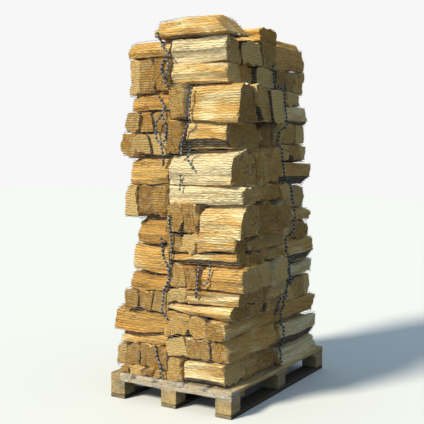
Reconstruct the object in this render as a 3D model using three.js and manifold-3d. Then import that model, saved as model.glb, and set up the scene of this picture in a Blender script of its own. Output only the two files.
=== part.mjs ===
// A pallet stack of split firewood: a wooden block pallet carries four columns of logs, laid
// in courses, with a net sleeve round them and a strip of stretch film along the deck's front.
// Millimetres, +Z up. The origin is the middle of the pallet's underside. The front is -Y.
import * as THREE from "three";
import { mergeVertices } from "three/addons/utils/BufferGeometryUtils.js";
import Module from "manifold-3d";

const wasm = await Module();
wasm.setup();

const GAP = 0.3; // left between pieces that touch

// The pallet
const PALLET_WIDTH = 800; // along X
const PALLET_LENGTH = 1200; // along Y
const BOARD = 22; // thickness of every board
const BLOCK = 78; // height of the blocks
const BLOCK_SIDE = 100;
const RUNNER_WIDTH = 100; // boards under the blocks, along Y
const STRINGER_WIDTH = 145; // boards over the blocks, along X
const DECK_WIDTHS = [145, 120, 145, 120, 145]; // boards of the deck, along Y
const DECK_TOP = 3 * BOARD + BLOCK;

// The stack: where its columns meet on each side, so that no seam runs straight through, half the
// room left in a seam, and how far logs that touch may sink into each other
const SEAMS = { front: -28, back: 8, left: 36, right: 14 };
const SEAM_HALF = 2;
const BITES = [6, 10, 14, 18, 22, 28];
const STACK_TOP = 2020;
const FRONT_LOW = -588; // the front leans back a little with height
const FRONT_HIGH = -552;
const BACK_LOW = 545;
const BACK_HIGH = 475;
const COURSES_IN_TIER = 2;
const COURSE_TILT_X = 0.068; // how far the beds between courses slope, along X and along Y
const COURSE_TILT_Y = 0.03;
const BED_MIDDLE_X = 190; // a bed has its stated height this far from the middle of the stack
const BED_MIDDLE_Y = 285;
const SPLIT_SHARE = [0.16, 0.13]; // of a mixed course its first logs take this, and this for each

// Courses from the deck up: height, then the logs from left to right or front to back (along = ends
// to the front, across = sides to the front), then how far the outer side reaches from the middle.
const FRONT_LEFT = [
  [56, "along4", 365], [130, "along4", 395], [83, "across3", 362], [117, "across3", 385],
  [107, "along3", 335], [105, "across3", 278], [155, "across3", 288], [158, "across3", 262],
  [178, "along3", 326], [157, "across3", 305], [118, "along3", 345], [120, "along3", 330],
  [97, "across4", 272], [193, "along3", 312], [97, "across3", 335],
];
const FRONT_RIGHT = [
  [141, "along1across3", 350], [120, "along3", 368], [115, "along3", 360], [65, "across3", 395],
  [80, "along1across3", 417], [135, "along2across3", 450], [60, "across4", 420],
  [108, "along2across3", 415], [166, "along2across3", 455], [101, "across4", 446], [179, "across2", 400],
  [161, "along1across3", 345], [192, "along1across3", 418], [115, "across3", 332], [133, "across3", 350],
];
const BACK_LEFT = [
  [120, "across3", 385], [135, "along3", 378], [110, "across3", 375], [150, "along2", 350],
  [125, "across3", 320], [140, "along3", 300], [100, "across4", 305], [160, "along2", 310],
  [130, "across3", 328], [120, "along3", 332], [145, "across3", 340], [115, "along3", 338],
  [150, "across3", 325], [136, "along2", 318],
];
const BACK_RIGHT = [
  [104, "along2", 540], [128, "along2", 530], [138, "along3", 515], [124, "across3", 480],
  [95, "along2", 545], [145, "along2", 520], [102, "across3", 470], [100, "along3", 480],
  [120, "across3", 415], [150, "along2", 500], [95, "across3", 475], [133, "across3", 435],
  [100, "along3", 455], [80, "across3", 395], [142, "across3", 440], [165, "along2", 462],
];
const RIGHT_LOW = 396; // the right side of the back column
const RIGHT_HIGH = 340;

// Sections of split logs in a unit square, anticlockwise from the left. The first five have a
// plain split face on the left, which is turned to the outside of the stack.
const SECTIONS = [
  [[0.09, 0.02], [0.97, 0], [0.95, 0.96], [0.45, 1], [0.13, 0.94], [0, 0.5]], // squared
  [[0.05, 0.02], [1, 0], [0.97, 0.8], [0.6, 1], [0.12, 0.76], [0, 0.4]], // sloping above
  [[0, 0.42], [0.3, 0.02], [1, 0], [0.96, 0.92], [0.5, 1], [0.05, 0.94]], // sloping below
  [[0, 0.03], [1, 0], [0.98, 0.62], [0.78, 0.93], [0.3, 1], [0.03, 0.95]], // quarter
  [[0.04, 0.03], [1, 0], [0.93, 0.76], [0.55, 1], [0.1, 0.78], [0, 0.35]], // gable
  [[0, 0.94], [0.01, 0.24], [0.15, 0.04], [0.78, 0], [0.99, 0.18], [1, 0.95], [0.5, 1]], // half, flat side up
  [[0, 0.03], [1, 0], [0.99, 0.74], [0.85, 0.95], [0.32, 1], [0.01, 0.8]], // half, flat side down
  [[0, 0.4], [0.09, 0.05], [0.6, 0], [0.97, 0.12], [1, 0.78], [0.86, 0.98], [0.15, 0.97]], // nearly round
  [[0, 0.95], [0.05, 0.18], [0.45, 0], [0.94, 0.15], [1, 0.95], [0.5, 1]], // pointed below
];
const BARE_SECTIONS = 5;
const BARE_SHARE = 0.85;
const UNEVEN = 0.06; // how far a section's points may move, as a share of its box
const TAPER = 0.045; // how far a log may draw in on each side at an end, as a share of its width
const END_DROP = 0.1; // how much lower its first end may be, as a share of its height
const CUT_WANDER = 0.34; // how far the walls between logs stand from even spacing, in log widths
const CUT_LEAN = 0.42; // how far those walls lean between underside and top, in log widths
const END_SET_BACK = 26; // how far an outer end may stand back
const SIDE_SET_BACK = 24;

// The shape number that each column starts from
const FIRST_SHAPE = { front_left: 3, front_right: 1003, back_left: 2003, back_right: 3003 };

// Steps between the shape numbers of courses, of the two kinds of logs in a course, and of logs
const COURSE_STEP = 31.7;
const KIND_STEP = 20;
const LOG_STEP = 1.37;
const WALL_STEP = { wander: 7.7, lean: 5.3 };

// What is added to a shape number to draw each of a log's chances
const DRAW = {
  bare: 0.15, mirrored: 0.3, slopeX: 0.21, slopeY: 0.77, endBack: 0.6, lowBack: 0.8, highBack: 0.87,
  left: 1.1, right: 3.1, drop: 5.1, pointX: 10.3, pointY: 14.3, point: 0.37, lean: 0.4,
};

// Logs laid loose on top: which way they lie, their ends, sides, underside and top, how far the
// top of the second end leans back, and a shape number
const CROWN = [
  ["across", [-118, 356], [-556, -300], 2015, 2138, 120, 41],
  ["across", [84, 350], [-205, 4], 2015, 2094, 0, 123],
  ["along", [-390, -40], [-300, -190], 1980, 2040, 0, 45],
];

// The net sleeve: height, then how far it stands from the middle to the left, right, front and back
const NET_LEVELS = [
  [150, 398, 404, 594, 545], [540, 394, 446, 590, 545], [720, 336, 446, 586, 545],
  [1240, 336, 458, 578, 520], [1380, 352, 420, 576, 512], [1660, 352, 424, 572, 502],
  [1880, 340, 420, 564, 490], [2024, 340, 356, 562, 486],
];
const NET_WALL = 2;

// The stretch film: from where it starts on the left, round the near corner
const FILM_LEFT = -330;
const FILM_LOW = 104;
const FILM_LAP = 10;
const FILM_ROUND = 70;
const FILM_WALL = 1.5;

const WOOD = { color: 0xd8b370, roughness: 0.85, metalness: 0 };
const OLD_WOOD = { color: 0xa08c6c, roughness: 0.9, metalness: 0 };
const NET = { color: 0x46505c, roughness: 0.7, metalness: 0 };
const FILM = { color: 0xd5dadc, roughness: 0.2, metalness: 0 };

const group = new THREE.Group();

// A steady number from 0 to 1 for each counter
function chance(n) {
  const x = Math.sin(n * 12.9898 + 4.1414) * 43758.5453;
  return x - Math.floor(x);
}

function mix(a, b, t) {
  return a + (b - a) * t;
}

function add(name, geometry, finish) {
  const mesh = new THREE.Mesh(geometry, new THREE.MeshStandardMaterial(finish));
  mesh.name = name;
  group.add(mesh);
  return mesh;
}

function solid(geometry) {
  const bare = geometry.clone();
  bare.deleteAttribute("normal");
  bare.deleteAttribute("uv");
  const merged = mergeVertices(bare, 1e-4);
  const mesh = new wasm.Mesh({
    numProp: 3,
    vertProperties: new Float32Array(merged.attributes.position.array),
    triVerts: new Uint32Array(merged.index.array),
  });
  return new wasm.Manifold(mesh);
}

function geometryOf(manifold) {
  const mesh = manifold.getMesh();
  const geometry = new THREE.BufferGeometry();
  geometry.setAttribute("position", new THREE.BufferAttribute(mesh.vertProperties, 3));
  geometry.setIndex(new THREE.BufferAttribute(mesh.triVerts, 1));
  return geometry;
}

function join(geometries) {
  return geometries.map(solid).reduce((a, b) => a.add(b));
}

// ---- Pallet

function board(name, width, length, height, x, y, z) {
  const geometry = new THREE.BoxGeometry(width, length, height);
  add(name, geometry, OLD_WOOD).position.set(x, y, z + height / 2);
}

function addPallet() {
  const places = [-1, 0, 1];
  const runnerX = PALLET_WIDTH / 2 - RUNNER_WIDTH / 2;
  const blockY = PALLET_LENGTH / 2 - BLOCK_SIDE / 2;
  const stringerY = PALLET_LENGTH / 2 - STRINGER_WIDTH / 2;
  for (const i of places) {
    const side = ["left", "middle", "right"][i + 1];
    board(`pallet_runner_${side}`, RUNNER_WIDTH, PALLET_LENGTH, BOARD - GAP, i * runnerX, 0, 0);
    for (const j of places) {
      const end = ["front", "centre", "back"][j + 1];
      board(`pallet_block_${end}_${side}`, BLOCK_SIDE, BLOCK_SIDE, BLOCK - GAP,
        i * runnerX, j * blockY, BOARD);
    }
  }
  for (const j of places) {
    const end = ["front", "centre", "back"][j + 1];
    board(`pallet_stringer_${end}`, PALLET_WIDTH, STRINGER_WIDTH, BOARD - GAP,
      0, j * stringerY, BOARD + BLOCK);
  }
  const used = DECK_WIDTHS.reduce((a, b) => a + b, 0);
  const spacing = (PALLET_WIDTH - used) / (DECK_WIDTHS.length - 1);
  let x = -PALLET_WIDTH / 2;
  DECK_WIDTHS.forEach((width, i) => {
    board(`pallet_deck_${i + 1}`, width, PALLET_LENGTH, BOARD - GAP,
      x + width / 2, 0, DECK_TOP - BOARD);
    x += width + spacing;
  });
}

// ---- Logs

// The section's points, moved a little, with the plain face on the side that faces out
function sectionPoints(outward, seed) {
  const bare = outward !== 0 && chance(seed + DRAW.bare) < BARE_SHARE;
  const points = SECTIONS[Math.floor(chance(seed) * (bare ? BARE_SECTIONS : SECTIONS.length))];
  const mirrored = outward === 0 ? chance(seed + DRAW.mirrored) < 0.5 : outward > 0;
  return points.map(([u, v], i) => {
    const moveX = UNEVEN * (2 * chance(seed + DRAW.pointX + DRAW.point * i) - 1);
    const moveY = UNEVEN * (2 * chance(seed + DRAW.pointY + DRAW.point * i) - 1);
    const x = THREE.MathUtils.clamp(u + moveX, 0, 1);
    const y = THREE.MathUtils.clamp(v + moveY, 0, 1);
    return new THREE.Vector2(mirrored ? 1 - x : x, y);
  });
}

// A prism of the section, bent to fill the log's cell. The cell gives the two ends of the log and
// how far the second leans, where its two walls stand at its underside and at its top, and the
// beds under and over it.
function logGeometry(cell, lie, outward, seed) {
  const geometry = new THREE.ExtrudeGeometry(new THREE.Shape(sectionPoints(outward, seed)), {
    depth: 1, steps: 1, bevelEnabled: false,
  });
  const ends = [0, 1].map((end) => ({
    left: TAPER * chance(seed + DRAW.left + end),
    right: TAPER * chance(seed + DRAW.right + end),
    drop: (end === 0 ? END_DROP : 0) * chance(seed + DRAW.drop),
  }));
  const position = geometry.attributes.position;
  for (let i = 0; i < position.count; i++) {
    const which = Math.round(position.getZ(i));
    const end = ends[which];
    const u = mix(end.left, 1 - end.right, position.getX(i));
    const v = position.getY(i);
    const across = mix(mix(...cell.low, u), mix(...cell.high, u), v);
    const along = cell.ends[which] - which * cell.endLean * v;
    const [x, y] = lie === "along" ? [across, -along] : [along, across];
    const bottom = cell.bottom(x, y);
    position.setXYZ(i, x, y, mix(bottom, cell.top(x, y), v * (1 - end.drop)));
  }
  return geometry;
}

function frontAt(z) {
  return mix(FRONT_LOW, FRONT_HIGH, (z - DECK_TOP) / (STACK_TOP - DECK_TOP));
}

function backAt(z) {
  return mix(BACK_LOW, BACK_HIGH, (z - DECK_TOP) / (STACK_TOP - DECK_TOP));
}

function rightAt(z) {
  return mix(RIGHT_LOW, RIGHT_HIGH, (z - DECK_TOP) / (STACK_TOP - DECK_TOP));
}

// The plan of one column at one height: [x0, x1, y0, y1]
function columnPlan(name, z, reach) {
  const [end, side] = name.split("_");
  const x = SEAMS[end] + (side === "left" ? -SEAM_HALF : SEAM_HALF);
  const y = SEAMS[side] + (end === "front" ? -SEAM_HALF : SEAM_HALF);
  if (name === "back_right") return [x, rightAt(z), y, reach];
  const [x0, x1] = side === "left" ? [-reach, x] : [x, reach];
  const [y0, y1] = end === "front" ? [frontAt(z), y] : [y, backAt(z)];
  return [x0, x1, y0, y1];
}

// The ends of a log, with the one that faces out of the stack set back
function drawIn(a0, a1, back) {
  const outer = Math.abs(a0) > Math.abs(a1) ? 0 : 1;
  return [outer === 0 ? a0 + back : a0, outer === 1 ? a1 - back : a1];
}

// Which side of a log faces out of the stack: -1 is its first side, 1 its second, 0 neither
function facing(name, lie, i, count) {
  const outerIsFirst = lie === "along" ? name.endsWith("left") : name.startsWith("front");
  if (outerIsFirst) return i === 0 ? -1 : 0;
  return i === count - 1 ? 1 : 0;
}

// The bed over the course with this number, as a height for each place. The last one is level.
function bed(name, height, course, courses, seed) {
  const flat = course < 0 || course === courses.length - 1;
  const n = seed + course * COURSE_STEP;
  const slopeX = flat ? 0 : COURSE_TILT_X * (2 * chance(n + DRAW.slopeX) - 1);
  const slopeY = flat ? 0 : COURSE_TILT_Y * (2 * chance(n + DRAW.slopeY) - 1);
  const middleX = name.endsWith("left") ? -BED_MIDDLE_X : BED_MIDDLE_X;
  const middleY = name.startsWith("front") ? -BED_MIDDLE_Y : BED_MIDDLE_Y;
  return (x, y) => height + slopeX * (x - middleX) + slopeY * (y - middleY);
}

function lowered(surface, drop) {
  return (x, y) => surface(x, y) - drop;
}

// Where the walls between logs stand, from 0 to 1, at the underside and the top of a course
function wallsOf(count, seed) {
  const low = [0];
  const high = [0];
  for (let i = 1; i < count; i++) {
    const wander = CUT_WANDER * (chance(seed + i * WALL_STEP.wander) - 0.5);
    const lean = CUT_LEAN * (chance(seed + i * WALL_STEP.lean + DRAW.lean) - 0.5);
    low.push((i + wander - lean) / count);
    high.push((i + wander + lean) / count);
  }
  return { low: [...low, 1], high: [...high, 1] };
}

// The logs of one course, side by side, each sunk into the next by the bite
function courseLogs(name, plan, bottom, top, lies, seed, bite) {
  const [x0, x1, y0, y1] = plan;
  const logs = [];
  const kinds = [...lies.matchAll(/(along|across)(\d)/g)];
  const split = mix(x0, x1, SPLIT_SHARE[0] + SPLIT_SHARE[1] * Number(kinds[0][2]));
  kinds.forEach(([, lie, digit], k) => {
    const count = Number(digit);
    const from = k === 1 ? split : x0;
    const to = k === 0 && kinds.length === 2 ? split + bite : x1;
    const sides = lie === "along" ? [from, to] : [y0, y1];
    const reach = lie === "along" ? [-y1, -y0] : [from, to];
    const walls = wallsOf(count, seed);
    for (let i = 0; i < count; i++) {
      const n = seed + KIND_STEP * k + i * LOG_STEP;
      const outward = facing(name, lie, i, count);
      const setBack = (share, edge) => (edge === outward ? -outward * SIDE_SET_BACK * share : 0);
      const wall = (shares, share) => [
        mix(...sides, shares[i]) - (i > 0 ? bite : 0) + setBack(share, -1),
        mix(...sides, shares[i + 1]) + (i < count - 1 ? bite : 0) + setBack(share, 1),
      ];
      const low = wall(walls.low, chance(n + DRAW.lowBack));
      const high = wall(walls.high, chance(n + DRAW.highBack));
      const ends = drawIn(...reach, END_SET_BACK * chance(n + DRAW.endBack));
      logs.push(logGeometry({ ends, endLean: 0, low, high, bottom, top }, lie, outward, n));
    }
  });
  return logs;
}

// A tier is joined with the smallest bite that makes it one piece
function joinTier(makeLogs) {
  for (const bite of BITES) {
    const tier = join(makeLogs(bite));
    if (tier.decompose().length === 1) return geometryOf(tier);
  }
  throw new Error("a tier of logs isn't one piece");
}

function addColumn(name, courses, seed) {
  let height = DECK_TOP;
  const heights = courses.map(([thickness]) => (height += thickness));
  const beds = heights.map((h, i) => bed(name, h, i, courses, seed));
  const under = (i) => (i === 0 ? bed(name, DECK_TOP, -1, courses, seed) : beds[i - 1]);
  for (let i = 0; i < courses.length; i += COURSES_IN_TIER) {
    const inTier = courses.slice(i, i + COURSES_IN_TIER);
    const makeLogs = (bite) => inTier.flatMap(([thickness, lies, reach], k) => {
      const plan = columnPlan(name, heights[i + k] - thickness / 2, reach);
      const bottom = lowered(under(i + k), k > 0 ? bite : 0);
      const top = lowered(beds[i + k], GAP);
      return courseLogs(name, plan, bottom, top, lies, seed + (i + k) * COURSE_STEP, bite);
    });
    add(`logs_${name}_tier_${i / COURSES_IN_TIER + 1}`, joinTier(makeLogs), WOOD);
  }
}

// The three logs that lie loose on top
function addCrown() {
  CROWN.forEach(([lie, ends, sides, low, high, endLean, seed], i) => {
    const cell = { ends, endLean, low: sides, high: sides, bottom: () => low + GAP, top: () => high };
    add(`log_top_${i + 1}`, logGeometry(cell, lie, -1, seed), WOOD);
  });
}

// ---- Net and film

// A closed loft through the net's levels, larger all round and longer at both ends by the given amounts
function netHull(grow, longer) {
  const last = NET_LEVELS.length - 1;
  const square = new THREE.Shape(
    [[-1, -1], [1, -1], [1, 1], [-1, 1]].map(([x, y]) => new THREE.Vector2(x, y)),
  );
  const geometry = new THREE.ExtrudeGeometry(square, { depth: last, steps: last, bevelEnabled: false });
  const position = geometry.attributes.position;
  for (let i = 0; i < position.count; i++) {
    const level = Math.round(position.getZ(i));
    const [height, left, right, front, back] = NET_LEVELS[level];
    const z = height + (level === 0 ? -longer : 0) + (level === last ? longer : 0);
    const x = position.getX(i) < 0 ? -left - grow : right + grow;
    const y = position.getY(i) < 0 ? -front - grow : back + grow;
    position.setXYZ(i, x, y, z);
  }
  return solid(geometry);
}

function addNet() {
  const sleeve = netHull(NET_WALL, 0).subtract(netHull(0, 1));
  add("net_sleeve", geometryOf(sleeve), NET);
}

// The film lies on the front edge of the deck, hangs over it, and goes round the near corner
function addFilm() {
  const front = -PALLET_LENGTH / 2 - GAP;
  const top = DECK_TOP;
  const outline = [
    [front - FILM_WALL, FILM_LOW], [front, FILM_LOW], [front, top], [front + FILM_LAP, top],
    [front + FILM_LAP, top + FILM_WALL], [front - FILM_WALL, top + FILM_WALL],
  ];
  const shape = new THREE.Shape(outline.map(([y, z]) => new THREE.Vector2(y, z)));
  const corner = PALLET_WIDTH / 2 + GAP;
  const length = corner + FILM_WALL - FILM_LEFT;
  const strip = new THREE.ExtrudeGeometry(shape, { depth: length, bevelEnabled: false });
  strip.rotateX(Math.PI / 2);
  strip.rotateZ(Math.PI / 2);
  strip.translate(FILM_LEFT, 0, 0);
  const high = top + FILM_WALL - FILM_LOW;
  const side = new THREE.BoxGeometry(FILM_WALL, FILM_ROUND, high);
  side.translate(corner + FILM_WALL / 2, front - FILM_WALL + FILM_ROUND / 2, FILM_LOW + high / 2);
  add("stretch_film", geometryOf(join([strip, side])), FILM);
}

addPallet();
addColumn("front_left", FRONT_LEFT, FIRST_SHAPE.front_left);
addColumn("front_right", FRONT_RIGHT, FIRST_SHAPE.front_right);
addColumn("back_left", BACK_LEFT, FIRST_SHAPE.back_left);
addColumn("back_right", BACK_RIGHT, FIRST_SHAPE.back_right);
addCrown();
addNet();
addFilm();

export default group;
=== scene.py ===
import math
import re

import bpy
import numpy as np
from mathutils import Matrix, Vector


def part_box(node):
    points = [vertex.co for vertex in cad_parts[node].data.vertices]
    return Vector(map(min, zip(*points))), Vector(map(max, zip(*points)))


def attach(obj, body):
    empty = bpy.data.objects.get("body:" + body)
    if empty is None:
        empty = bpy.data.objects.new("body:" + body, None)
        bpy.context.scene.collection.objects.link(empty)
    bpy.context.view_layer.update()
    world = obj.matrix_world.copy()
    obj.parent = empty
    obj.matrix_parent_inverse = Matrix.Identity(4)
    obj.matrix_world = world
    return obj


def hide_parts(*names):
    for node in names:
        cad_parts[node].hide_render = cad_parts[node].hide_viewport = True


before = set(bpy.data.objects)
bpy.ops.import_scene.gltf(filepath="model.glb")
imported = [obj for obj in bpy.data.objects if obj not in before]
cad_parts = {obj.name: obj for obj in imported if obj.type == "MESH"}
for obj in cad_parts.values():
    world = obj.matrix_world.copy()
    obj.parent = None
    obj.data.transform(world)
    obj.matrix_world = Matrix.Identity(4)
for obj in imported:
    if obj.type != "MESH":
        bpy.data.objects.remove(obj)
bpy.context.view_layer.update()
print("frame loaded:", len(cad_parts), "nodes")

scene = bpy.context.scene


def chance(n):
    # a steady number from 0 to 1 for each n
    x = math.sin(n * 12.9898 + 4.1414) * 43758.5453
    return x - math.floor(x)


def mix(a, b, t):
    return a + (b - a) * t


def hashed(ix, iy, seed):
    # steady numbers from 0 to 1 on a grid
    n = (ix * 374761393 + iy * 668265263 + int(seed) * 974634777) & 0xFFFFFFFF
    n = ((n ^ (n >> 13)) * 1274126177) & 0xFFFFFFFF
    return ((n ^ (n >> 16)) & 0xFFFF) / 65535.0


def noise2(x, y, seed):
    # smooth value noise from -1 to 1, for arrays
    x, y = np.broadcast_arrays(np.asarray(x, float), np.asarray(y, float))
    ix, iy = np.floor(x).astype(np.int64), np.floor(y).astype(np.int64)
    fx, fy = x - ix, y - iy
    fx, fy = fx * fx * (3 - 2 * fx), fy * fy * (3 - 2 * fy)
    low = mix(hashed(ix, iy, seed), hashed(ix + 1, iy, seed), fx)
    high = mix(hashed(ix, iy + 1, seed), hashed(ix + 1, iy + 1, seed), fx)
    return 2 * mix(low, high, fy) - 1


def newMesh(name, verts, faces, materials, faceMaterials=None, smooth=None):
    mesh = bpy.data.meshes.new(name)
    mesh.from_pydata(verts, [], faces)
    for material in materials:
        mesh.materials.append(material)
    if faceMaterials is not None:
        mesh.polygons.foreach_set("material_index", faceMaterials)
    if smooth is not None:
        mesh.polygons.foreach_set("use_smooth", smooth)
    mesh.update()
    piece = bpy.data.objects.new(name, mesh)
    scene.collection.objects.link(piece)
    return piece


def setAttribute(piece, name, kind, values):
    field = {"FLOAT": "value", "FLOAT_VECTOR": "vector"}[kind]
    attribute = piece.data.attributes.new(name, kind, "POINT")
    attribute.data.foreach_set(field, np.asarray(values, np.float32).ravel())


cameraView = {
    "place": (2.434, -4.169, 1.407),
    "down": 4.3,  # degrees below level
    "turn": 31.1,
    "lens": 67.84, "sensor": 36,
}

studio = {
    "sunTurn": (52, 0, -22),  # degrees
    "sunPower": 5.35,
    "sunColor": (1.0, 0.92, 0.72),
    "sunSoftness": 12,  # degrees across
    "fill": (0.58, 0.74, 0.86),
    "fillPower": 0.62,
    "backdrop": 0.93,
    "floor": (0.66, 0.68, 0.71),
    "floorBounce": (0.16, 0.17, 0.18),
    "floorSide": 40, "floorRoughness": 0.9,
}


def makeCamera():
    data = bpy.data.cameras.new("camera")
    data.lens = cameraView["lens"]
    data.sensor_width = cameraView["sensor"]
    camera = bpy.data.objects.new("camera", data)
    camera.location = cameraView["place"]
    camera.rotation_euler = (math.radians(90 - cameraView["down"]), 0, math.radians(cameraView["turn"]))
    scene.collection.objects.link(camera)
    scene.camera = camera


def makeLight():
    data = bpy.data.lights.new("sun", "SUN")
    data.energy = studio["sunPower"]
    data.angle = math.radians(studio["sunSoftness"])
    data.color = studio["sunColor"]
    sun = bpy.data.objects.new("sun", data)
    sun.rotation_euler = [math.radians(a) for a in studio["sunTurn"]]
    scene.collection.objects.link(sun)


def makeWorld():
    # the backdrop looks pale, and the fill light that it gives is weaker and bluer
    world = bpy.data.worlds.new("studio")
    scene.world = world
    world.use_nodes = True
    nt = world.node_tree
    nt.nodes.clear()
    out = nt.nodes.new("ShaderNodeOutputWorld")
    both = nt.nodes.new("ShaderNodeMixShader")
    seen = nt.nodes.new("ShaderNodeBackground")
    fill = nt.nodes.new("ShaderNodeBackground")
    path = nt.nodes.new("ShaderNodeLightPath")
    seen.inputs["Color"].default_value = (1, 1, 1, 1)
    seen.inputs["Strength"].default_value = studio["backdrop"]
    fill.inputs["Color"].default_value = (*studio["fill"], 1)
    fill.inputs["Strength"].default_value = studio["fillPower"]
    nt.links.new(path.outputs["Is Camera Ray"], both.inputs["Fac"])
    nt.links.new(fill.outputs[0], both.inputs[1])
    nt.links.new(seen.outputs[0], both.inputs[2])
    nt.links.new(both.outputs[0], out.inputs["Surface"])


def makeFloor():
    # the floor looks paler than the light that it throws back
    side = studio["floorSide"] / 2
    corners = [(-side, -side, 0), (side, -side, 0), (side, side, 0), (-side, side, 0)]
    material = bpy.data.materials.new("floorPaint")
    material.use_nodes = True
    nt = material.node_tree
    shader = nt.nodes["Principled BSDF"]
    shader.inputs["Roughness"].default_value = studio["floorRoughness"]
    path = nt.nodes.new("ShaderNodeLightPath")
    tone = nt.nodes.new("ShaderNodeMix")
    tone.data_type = "RGBA"
    # a colour mix has its two colours in sockets 6 and 7, and its result in 2
    tone.inputs[6].default_value = (*studio["floorBounce"], 1)
    tone.inputs[7].default_value = (*studio["floor"], 1)
    nt.links.new(path.outputs["Is Camera Ray"], tone.inputs[0])
    nt.links.new(tone.outputs[2], shader.inputs["Base Color"])
    newMesh("floor", corners, [(0, 1, 2, 3)], [material])


scene.view_settings.view_transform = "Standard"
makeCamera()
makeLight()
makeWorld()
makeFloor()
print("camera, light and floor made")


class Nodes:
    # short ways to add and join shader nodes in one material

    def __init__(self, name):
        self.material = bpy.data.materials.new(name)
        self.material.use_nodes = True
        self.tree = self.material.node_tree
        self.shader = self.tree.nodes["Principled BSDF"]

    def link(self, out, into):
        self.tree.links.new(out, into)

    def give(self, socket, value):
        if isinstance(value, bpy.types.NodeSocket):
            self.link(value, socket)
        else:
            socket.default_value = value

    def attribute(self, name, output="Vector"):
        node = self.tree.nodes.new("ShaderNodeAttribute")
        node.attribute_name = name
        return node.outputs[output]

    def stretch(self, vector, scale, location=(0, 0, 0)):
        node = self.tree.nodes.new("ShaderNodeMapping")
        self.link(vector, node.inputs["Vector"])
        node.inputs["Scale"].default_value = scale
        node.inputs["Location"].default_value = location
        return node.outputs[0]

    def noise(self, vector, scale, detail=4, rough=0.55, distortion=0):
        node = self.tree.nodes.new("ShaderNodeTexNoise")
        self.link(vector, node.inputs["Vector"])
        node.inputs["Scale"].default_value = scale
        node.inputs["Detail"].default_value = detail
        node.inputs["Roughness"].default_value = rough
        node.inputs["Distortion"].default_value = distortion
        return node.outputs["Fac"]

    def cells(self, vector, scale, feature="F1"):
        node = self.tree.nodes.new("ShaderNodeTexVoronoi")
        node.feature = feature
        self.link(vector, node.inputs["Vector"])
        node.inputs["Scale"].default_value = scale
        return node.outputs["Distance"]

    def ramp(self, value, stops):
        node = self.tree.nodes.new("ShaderNodeValToRGB")
        self.link(value, node.inputs["Fac"])
        while len(node.color_ramp.elements) < len(stops):
            node.color_ramp.elements.new(0.5)
        for element, (place, color) in zip(node.color_ramp.elements, stops):
            element.position = place
            element.color = (*color, 1)
        return node.outputs["Color"]

    def steps(self, value, low, high, bottom=0.0, top=1.0):
        node = self.tree.nodes.new("ShaderNodeMapRange")
        self.link(value, node.inputs["Value"])
        for name, number in (("From Min", low), ("From Max", high), ("To Min", bottom), ("To Max", top)):
            node.inputs[name].default_value = number
        return node.outputs["Result"]

    def math(self, operation, a, b=0.0):
        node = self.tree.nodes.new("ShaderNodeMath")
        node.operation = operation
        self.give(node.inputs[0], a)
        self.give(node.inputs[1], b)
        return node.outputs[0]

    def blend(self, share, a, b, kind="MIX"):
        node = self.tree.nodes.new("ShaderNodeMix")
        node.data_type = "RGBA"
        node.blend_type = kind
        self.give(node.inputs[0], share)
        self.give(node.inputs[6], a if isinstance(a, bpy.types.NodeSocket) else (*a, 1))
        self.give(node.inputs[7], b if isinstance(b, bpy.types.NodeSocket) else (*b, 1))
        return node.outputs[2]

    def bump(self, height, strength, distance):
        node = self.tree.nodes.new("ShaderNodeBump")
        self.link(height, node.inputs["Height"])
        node.inputs["Strength"].default_value = strength
        node.inputs["Distance"].default_value = distance
        self.link(node.outputs["Normal"], self.shader.inputs["Normal"])

    def parts(self, vector):
        node = self.tree.nodes.new("ShaderNodeSeparateXYZ")
        self.link(vector, node.inputs[0])
        return node.outputs[0], node.outputs[1], node.outputs[2]

    def joined(self, x, y, z):
        node = self.tree.nodes.new("ShaderNodeCombineXYZ")
        for socket, value in zip(node.inputs, (x, y, z)):
            self.give(socket, value)
        return node.outputs[0]

    def distance(self, vector):
        node = self.tree.nodes.new("ShaderNodeVectorMath")
        node.operation = "LENGTH"
        self.link(vector, node.inputs[0])
        return node.outputs["Value"]


woodColors = {
    "cream": (0.80, 0.62, 0.30),
    "pale": (0.88, 0.76, 0.47),
    "greyed": (0.74, 0.64, 0.43),
    "honey": (0.63, 0.37, 0.09),
    "orange": (0.56, 0.26, 0.04),
    "amber": (0.48, 0.30, 0.08),
    "brown": (0.22, 0.12, 0.045),
    "crack": (0.09, 0.05, 0.022),
    "endTan": (0.50, 0.28, 0.055),
    "endPale": (0.66, 0.43, 0.13),
    "endDark": (0.34, 0.17, 0.045),
    "bark": (0.095, 0.066, 0.040),
    "barkPale": (0.20, 0.155, 0.105),
    "lichen": (0.20, 0.21, 0.15),
    # what darkened faces are multiplied by
    "warmDarkSplit": (0.62, 0.49, 0.22),
    "warmDarkEnd": (0.64, 0.51, 0.25),
    "shade": (0.50, 0.45, 0.34),
}

woodGrain = {
    # waves to the metre along the log and the two ways across it
    "fibre": (7, 230, 230), "streak": (3.0, 46, 46), "patch": (4.5, 13, 13), "grey": (5, 20, 20),
    "dirt": (16, 70, 70), "crack": (3.5, 75, 75), "crackPatch": (6, 18, 18), "saw": (10, 400, 60),
    "bark": (14, 42, 42), "barkRough": (40, 90, 90),
    "ringWave": 1300.0, "ringWander": 0.012,  # growth rings on the sawn ends
    "endShades": 7.0, "endBleaches": 19.0,  # how often these come round as the tone grows
    "splitBump": 0.005, "endBump": 0.003, "barkBump": 0.006,
}


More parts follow.
